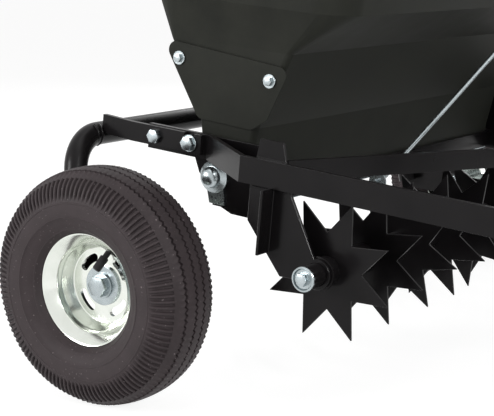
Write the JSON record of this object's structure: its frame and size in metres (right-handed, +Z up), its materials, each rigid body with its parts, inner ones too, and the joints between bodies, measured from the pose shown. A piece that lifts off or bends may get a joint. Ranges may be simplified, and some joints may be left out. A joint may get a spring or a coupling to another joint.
{
  "type": "tow behind spike aerator with drop seeder hopper",
  "caption": "Tow-behind lawn spike aerator with a drop seeder hopper, star disc reel, swing-up transport wheels, flow control lever and height-adjustable drawbar hitch.",
  "frame": {"origin": "on the floor under the middle of the bounding box", "axes": "+X to the machine's left across the wheels, -Y forward along the drawbar, +Z up"},
  "size_m": [1.005, 1.1695, 0.7409],
  "materials": {
    "poly": "matt moulded polyethylene, dark grey",
    "black_paint": "gloss black powder coat on steel",
    "zinc": "bright zinc plate on steel",
    "rim_zinc": "bright plated pressed steel",
    "tyre_rubber": "matt dark rubber",
    "valve_rubber": "moulded rubber",
    "grip": "black moulded grip"
  },
  "bodies": {
    "frame": {"hopper_shell": "poly", "right_end_panel": "poly", "left_end_panel": "poly", "panel_bolts": "zinc", "right_side_plate": "black_paint", "left_side_plate": "black_paint", "metering_floor": "black_paint", "right_agitator_bearing": "zinc", "left_agitator_bearing": "zinc", "right_hanger": "black_paint", "left_hanger": "black_paint", "right_reel_bearing": "black_paint", "left_reel_bearing": "black_paint", "right_arm": "black_paint", "left_arm": "black_paint", "right_brace": "black_paint", "left_brace": "black_paint", "tongue": "black_paint", "drawbar_bolts": "zinc", "hitch_channel": "black_paint", "hitch_clevis": "black_paint", "hitch_bolts": "zinc", "pivot_bolts": "zinc", "lever_post": "black_paint", "drive_chain": "zinc"},
    "wheel_frame": {"wheel_tube": "black_paint", "right_pivot_tab": "black_paint", "left_pivot_tab": "black_paint", "right_axle_plate": "black_paint", "left_axle_plate": "black_paint", "axle_bolts": "zinc"},
    "right_wheel": {"right_tyre": "tyre_rubber", "right_rim_halves": "rim_zinc", "right_hub": "zinc", "right_valve": "valve_rubber"},
    "left_wheel": {"left_tyre": "tyre_rubber", "left_rim_halves": "rim_zinc", "left_hub": "zinc", "left_valve": "valve_rubber"},
    "reel": {"reel_shaft": "zinc", "disc_spacers": "black_paint", "reel_end_bolts": "zinc", "reel_sprocket": "zinc", "spiker_disc_01": "black_paint", "spiker_disc_02": "black_paint", "spiker_disc_03": "black_paint", "spiker_disc_04": "black_paint", "spiker_disc_05": "black_paint", "spiker_disc_06": "black_paint", "spiker_disc_07": "black_paint", "spiker_disc_08": "black_paint", "spiker_disc_09": "black_paint", "spiker_disc_10": "black_paint", "spiker_disc_11": "black_paint"},
    "agitator": {"agitator_shaft": "zinc", "agitator_sprocket": "zinc"},
    "lever": {"flow_lever": "zinc", "lever_knob": "grip"},
    "gate": {"gate_plate": "zinc"},
    "rod": {"flow_rod": "zinc"}
  },
  "joints": [
    {"name": "wheel_frame_swing", "type": "hinge", "parent": "frame", "child": "wheel_frame", "pos_m": [0, 0.46496, 0.27912], "axis": [1, 0, 0], "range_deg": [0, 85]},
    {"name": "right_wheel_spin", "type": "hinge", "parent": "wheel_frame", "child": "right_wheel", "pos_m": [-0.457, 0.45526, 0.1295], "axis": [1, 0, 0], "continuous": true},
    {"name": "left_wheel_spin", "type": "hinge", "parent": "wheel_frame", "child": "left_wheel", "pos_m": [0.457, 0.45526, 0.1295], "axis": [1, 0, 0], "continuous": true},
    {"name": "reel_spin", "type": "hinge", "parent": "frame", "child": "reel", "pos_m": [0, 0.22124, 0.16021], "axis": [1, 0, 0], "continuous": true},
    {"name": "agitator_spin", "type": "hinge", "parent": "frame", "child": "agitator", "pos_m": [0, 0.39158, 0.23789], "axis": [1, 0, 0], "continuous": true},
    {"name": "lever_swing", "type": "hinge", "parent": "frame", "child": "lever", "pos_m": [-0.0288, 0.03178, 0.51067], "axis": [1, 0, 0], "range_deg": [0, 28]},
    {"name": "gate_slide", "type": "slide", "parent": "frame", "child": "gate", "axis": [0, 0.9954, 0.0958], "range_m": [-0.0246, 0]},
    {"name": "rod_swing", "type": "hinge", "parent": "gate", "child": "rod", "pos_m": [-0.191, 0.26734, 0.22392], "axis": [-0.9311, -0.2126, 0.2964], "range_deg": [0, 3.15]}
  ],
  "couplings": [
    {"joint": "agitator_spin", "follows": "reel_spin", "ratio": 1.6923},
    {"joint": "gate_slide", "follows": "lever_swing", "m_per_rad": -0.049272},
    {"joint": "rod_swing", "follows": "lever_swing", "ratio": 0.10885}
  ]
}
